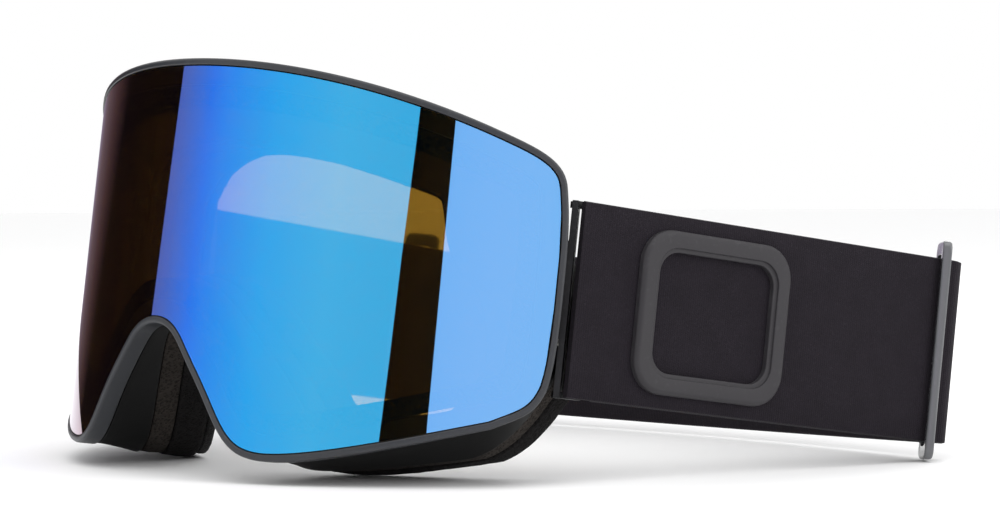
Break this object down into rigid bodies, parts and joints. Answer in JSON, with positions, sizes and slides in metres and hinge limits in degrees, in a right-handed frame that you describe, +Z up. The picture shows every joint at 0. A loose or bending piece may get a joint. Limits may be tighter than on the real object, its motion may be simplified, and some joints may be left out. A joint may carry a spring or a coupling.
{
  "type": "ski goggles",
  "caption": "Ski goggles with a cylindrical double lens, foam-lined face frame, elastic strap and sliding strap adjusters.",
  "frame": {"origin": "on the ground under the middle of the goggles as they lie at rest", "axes": "+X to the wearer's left, +Y from the lens towards the back of the head, +Z up; the goggles lean back by 8.1 degrees, lying on the cheek foam and both sliders"},
  "size_m": [0.2098, 0.182, 0.0982],
  "materials": {
    "lens_mirror_blue": "glossy blue mirror coating on a tinted polycarbonate pane",
    "lens_clear_amber": "clear amber inner pane",
    "rim_satin_charcoal": "satin moulded",
    "frame_soft_black": "soft matte moulded",
    "foam_base_brown": "firm open-cell foam",
    "foam_black": "soft open-cell foam",
    "fleece_charcoal": "brushed fleece",
    "strap_knit_black": "knitted elastic",
    "badge_rubber_grey": "matte moulded rubber",
    "slider_gloss_grey": "semi-gloss moulded",
    "silicone_clear_grey": "printed silicone",
    "magnet_nickel": "nickel plated"
  },
  "bodies": {
    "frame": {"face_frame": "frame_soft_black", "foam_base": "foam_base_brown", "foam_cushion": "foam_black", "foam_fleece": "fleece_charcoal", "vent_foam_upper": "foam_black", "magnet_keeper_1": "magnet_nickel", "magnet_keeper_2": "magnet_nickel", "magnet_keeper_3": "magnet_nickel", "magnet_keeper_4": "magnet_nickel", "magnet_keeper_5": "magnet_nickel", "strap_anchor_left": "rim_satin_charcoal", "strap_anchor_right": "rim_satin_charcoal", "anchor_screw_left_1": "magnet_nickel", "anchor_screw_left_2": "magnet_nickel", "anchor_screw_right_1": "magnet_nickel", "anchor_screw_right_2": "magnet_nickel", "strap_rear": "strap_knit_black", "strap_grip_1": "silicone_clear_grey", "strap_grip_2": "silicone_clear_grey", "strap_grip_3": "silicone_clear_grey"},
    "lens_unit": {"lens_rim": "rim_satin_charcoal", "outer_lens": "lens_mirror_blue", "lens_gasket": "foam_black", "inner_lens": "lens_clear_amber", "lens_magnet_1": "magnet_nickel", "lens_magnet_2": "magnet_nickel", "lens_magnet_3": "magnet_nickel", "lens_magnet_4": "magnet_nickel", "lens_magnet_5": "magnet_nickel"},
    "strap_left": {"strap_arm_left": "strap_knit_black", "strap_tab_left": "strap_knit_black", "strap_return_left": "strap_knit_black", "strap_badge_left": "badge_rubber_grey"},
    "slider_left": {"slider_left": "slider_gloss_grey"},
    "strap_right": {"strap_arm_right": "strap_knit_black", "strap_tab_right": "strap_knit_black", "strap_return_right": "strap_knit_black", "strap_badge_right": "badge_rubber_grey"},
    "slider_right": {"slider_right": "slider_gloss_grey"}
  },
  "joints": [
    {"name": "lens_release", "type": "slide", "parent": "frame", "child": "lens_unit", "axis": [0, -0.99, 0.1409], "range_m": [0, 0.05]},
    {"name": "strap_left_swing", "type": "hinge", "parent": "frame", "child": "strap_left", "pos_m": [0.08351, -0.02984, 0.04124], "axis": [0, 0.1409, 0.99], "range_deg": [-10, 14], "deforming": ["strap_rear"]},
    {"name": "strap_right_swing", "type": "hinge", "parent": "frame", "child": "strap_right", "pos_m": [-0.08351, -0.02984, 0.04124], "axis": [0, -0.1409, -0.99], "range_deg": [-10, 14], "deforming": ["strap_rear"]},
    {"name": "slider_left_adjust", "type": "slide", "parent": "strap_left", "child": "slider_left", "axis": [-0.1366, -0.9807, 0.1396], "range_m": [0, 0.04], "deforming": ["strap_return_left"]},
    {"name": "slider_right_adjust", "type": "slide", "parent": "strap_right", "child": "slider_right", "axis": [0.1366, -0.9807, 0.1396], "range_m": [0, 0.04], "deforming": ["strap_return_right"]}
  ]
}
